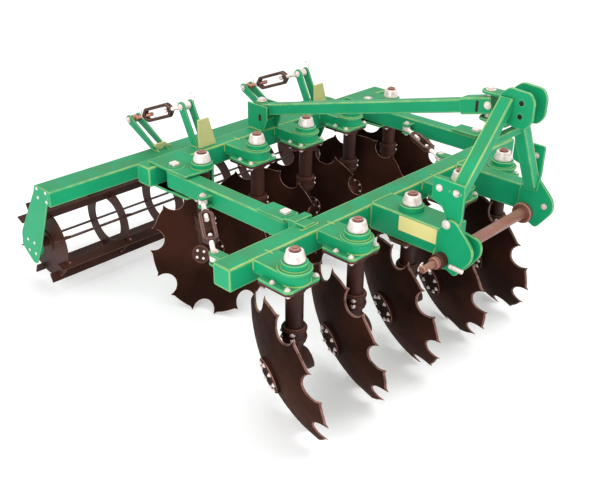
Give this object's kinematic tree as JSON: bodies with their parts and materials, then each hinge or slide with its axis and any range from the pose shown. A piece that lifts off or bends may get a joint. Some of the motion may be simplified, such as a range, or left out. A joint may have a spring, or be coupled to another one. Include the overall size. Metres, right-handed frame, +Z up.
{
  "type": "offset disc harrow with cage roller",
  "caption": "Three-point mounted offset disc harrow: two rows of notched discs on single columns, a shiftable parallelogram frame and a slatted cage roller.",
  "frame": {"origin": "middle of the plan outline, on the ground", "axes": "+X forward along the line of travel, +Y to the machine's left, +Z up"},
  "size_m": [2.3348, 2.2, 1.3218],
  "materials": {
    "green_paint": "gloss green paint",
    "brown_paint": "dark red-brown primer",
    "disc_steel": "near-black brown painted steel",
    "zinc": "zinc plated",
    "bar_paint": "reddish brown primer",
    "plate_cream": "satin cream, blank"
  },
  "bodies": {
    "front_frame": {"front_beam": "green_paint", "right_hitch_arm": "green_paint", "left_hitch_arm": "green_paint", "lower_cross_bar": "bar_paint", "mast": "green_paint", "name_plate": "plate_cream", "front_column_1": "brown_paint", "front_column_2": "brown_paint", "front_column_3": "brown_paint", "front_column_4": "brown_paint", "front_column_5": "brown_paint"},
    "right_side_beam": {"right_side_beam": "green_paint"},
    "left_side_beam": {"left_side_beam": "green_paint"},
    "rear_frame": {"rear_beam": "green_paint", "rear_column_1": "brown_paint", "rear_column_2": "brown_paint", "rear_column_3": "brown_paint", "rear_column_4": "brown_paint", "rear_column_5": "brown_paint"},
    "brace": {"brace": "green_paint"},
    "roller_frame": {"roller_frame": "green_paint"},
    "cage_roller": {"cage_roller": "brown_paint"},
    "right_side_adjuster_body": {"right_side_adjuster_body": "brown_paint"},
    "right_side_adjuster_screw": {"right_side_adjuster_screw": "zinc"},
    "left_side_adjuster_body": {"left_side_adjuster_body": "brown_paint"},
    "left_side_adjuster_screw": {"left_side_adjuster_screw": "zinc"},
    "right_roller_link_body": {"right_roller_link_body": "brown_paint"},
    "right_roller_link_screw": {"right_roller_link_screw": "zinc"},
    "left_roller_link_body": {"left_roller_link_body": "brown_paint"},
    "left_roller_link_screw": {"left_roller_link_screw": "zinc"},
    "front_disc_1": {"front_disc_1": "disc_steel"},
    "front_disc_2": {"front_disc_2": "disc_steel"},
    "front_disc_3": {"front_disc_3": "disc_steel"},
    "front_disc_4": {"front_disc_4": "disc_steel"},
    "front_disc_5": {"front_disc_5": "disc_steel"},
    "rear_disc_1": {"rear_disc_1": "disc_steel"},
    "rear_disc_2": {"rear_disc_2": "disc_steel"},
    "rear_disc_3": {"rear_disc_3": "disc_steel"},
    "rear_disc_4": {"rear_disc_4": "disc_steel"},
    "rear_disc_5": {"rear_disc_5": "disc_steel"}
  },
  "joints": [
    {"name": "frame_shift", "type": "hinge", "parent": "front_frame", "child": "right_side_beam", "pos_m": [0.44039, -0.62, 0.71381], "axis": [0, 0, 1], "range_deg": [-3, 3]},
    {"name": "rear_frame_counter_swing", "type": "hinge", "parent": "right_side_beam", "child": "rear_frame", "pos_m": [-0.31061, -0.62, 0.71381], "axis": [0, 0, 1], "range_deg": [-3.1, 3.1]},
    {"name": "left_beam_swing", "type": "hinge", "parent": "front_frame", "child": "left_side_beam", "pos_m": [0.44039, 0.82, 0.71381], "axis": [0, 0, 1], "range_deg": [-3.1, 3.1]},
    {"name": "brace_swing", "type": "hinge", "parent": "front_frame", "child": "brace", "pos_m": [0.93239, 0.09, 1.21081], "axis": [0, 0, 1], "range_deg": [-3, 3]},
    {"name": "right_side_adjuster_swing", "type": "hinge", "parent": "front_frame", "child": "right_side_adjuster_body", "pos_m": [0.43739, -1.015, 0.71381], "axis": [0, 0, 1], "range_deg": [-1.96, 1.96]},
    {"name": "right_side_adjuster_length", "type": "slide", "parent": "right_side_adjuster_body", "child": "right_side_adjuster_screw", "axis": [-0.8179, 0.5753, 0], "range_m": [-0.018, 0.018]},
    {"name": "left_side_adjuster_swing", "type": "hinge", "parent": "front_frame", "child": "left_side_adjuster_body", "pos_m": [0.44239, 0.5, 0.71381], "axis": [0, 0, 1], "range_deg": [-2.13, 2.13]},
    {"name": "left_side_adjuster_length", "type": "slide", "parent": "left_side_adjuster_body", "child": "left_side_adjuster_screw", "axis": [-0.8594, 0.5113, 0], "range_m": [-0.0153, 0.0153]},
    {"name": "roller_lift", "type": "hinge", "parent": "rear_frame", "child": "roller_frame", "pos_m": [-0.56261, 0.09, 0.67581], "axis": [0, 1, 0], "range_deg": [-5, 8]},
    {"name": "roller_spin", "type": "hinge", "parent": "roller_frame", "child": "cage_roller", "pos_m": [-0.96261, 0.09, 0.26859], "axis": [0, 1, 0], "continuous": true},
    {"name": "right_roller_link_swing", "type": "hinge", "parent": "rear_frame", "child": "right_roller_link_body", "pos_m": [-0.55761, -0.335, 0.95181], "axis": [0, 1, 0], "range_deg": [-4.15, 6.51]},
    {"name": "right_roller_link_length", "type": "slide", "parent": "right_roller_link_body", "child": "right_roller_link_screw", "axis": [-0.9304, 0, -0.3666], "range_m": [-0.0366, 0.0232]},
    {"name": "left_roller_link_swing", "type": "hinge", "parent": "rear_frame", "child": "left_roller_link_body", "pos_m": [-0.55761, 0.515, 0.95181], "axis": [0, 1, 0], "range_deg": [-4.15, 6.51]},
    {"name": "left_roller_link_length", "type": "slide", "parent": "left_roller_link_body", "child": "left_roller_link_screw", "axis": [-0.9304, 0, -0.3666], "range_m": [-0.0366, 0.0232]},
    {"name": "front_disc_1_spin", "type": "hinge", "parent": "front_frame", "child": "front_disc_1", "pos_m": [0.74639, -1.011, 0.30162], "axis": [0.3477, 0.9058, 0.2419], "continuous": true},
    {"name": "front_disc_2_spin", "type": "hinge", "parent": "front_frame", "child": "front_disc_2", "pos_m": [0.74639, -0.651, 0.30162], "axis": [0.3477, 0.9058, 0.2419], "continuous": true},
    {"name": "front_disc_3_spin", "type": "hinge", "parent": "front_frame", "child": "front_disc_3", "pos_m": [0.74639, -0.291, 0.30162], "axis": [0.3477, 0.9058, 0.2419], "continuous": true},
    {"name": "front_disc_4_spin", "type": "hinge", "parent": "front_frame", "child": "front_disc_4", "pos_m": [0.74639, 0.069, 0.30162], "axis": [0.3477, 0.9058, 0.2419], "continuous": true},
    {"name": "front_disc_5_spin", "type": "hinge", "parent": "front_frame", "child": "front_disc_5", "pos_m": [0.74639, 0.429, 0.30162], "axis": [0.3477, 0.9058, 0.2419], "continuous": true},
    {"name": "rear_disc_1_spin", "type": "hinge", "parent": "rear_frame", "child": "rear_disc_1", "pos_m": [-0.23761, -0.45, 0.29749], "axis": [0.4072, -0.8733, 0.2672], "continuous": true},
    {"name": "rear_disc_2_spin", "type": "hinge", "parent": "rear_frame", "child": "rear_disc_2", "pos_m": [-0.23761, -0.09, 0.29749], "axis": [0.4072, -0.8733, 0.2672], "continuous": true},
    {"name": "rear_disc_3_spin", "type": "hinge", "parent": "rear_frame", "child": "rear_disc_3", "pos_m": [-0.23761, 0.27, 0.29749], "axis": [0.4072, -0.8733, 0.2672], "continuous": true},
    {"name": "rear_disc_4_spin", "type": "hinge", "parent": "rear_frame", "child": "rear_disc_4", "pos_m": [-0.23761, 0.63, 0.29749], "axis": [0.4072, -0.8733, 0.2672], "continuous": true},
    {"name": "rear_disc_5_spin", "type": "hinge", "parent": "rear_frame", "child": "rear_disc_5", "pos_m": [-0.23761, 0.99, 0.29749], "axis": [0.4072, -0.8733, 0.2672], "continuous": true}
  ],
  "couplings": [
    {"joint": "rear_frame_counter_swing", "follows": "frame_shift", "ratio": -1},
    {"joint": "left_beam_swing", "follows": "frame_shift", "ratio": 1},
    {"joint": "brace_swing", "follows": "frame_shift", "ratio": 0.5446},
    {"joint": "right_side_adjuster_swing", "follows": "frame_shift", "ratio": 0.58682},
    {"joint": "right_side_adjuster_length", "follows": "frame_shift", "m_per_rad": -0.32481},
    {"joint": "left_side_adjuster_swing", "follows": "frame_shift", "ratio": 0.64476},
    {"joint": "left_side_adjuster_length", "follows": "frame_shift", "m_per_rad": -0.27398},
    {"joint": "right_roller_link_swing", "follows": "roller_lift", "ratio": 0.78916},
    {"joint": "right_roller_link_length", "follows": "roller_lift", "m_per_rad": -0.25495},
    {"joint": "left_roller_link_swing", "follows": "roller_lift", "ratio": 0.78916},
    {"joint": "left_roller_link_length", "follows": "roller_lift", "m_per_rad": -0.25495}
  ]
}
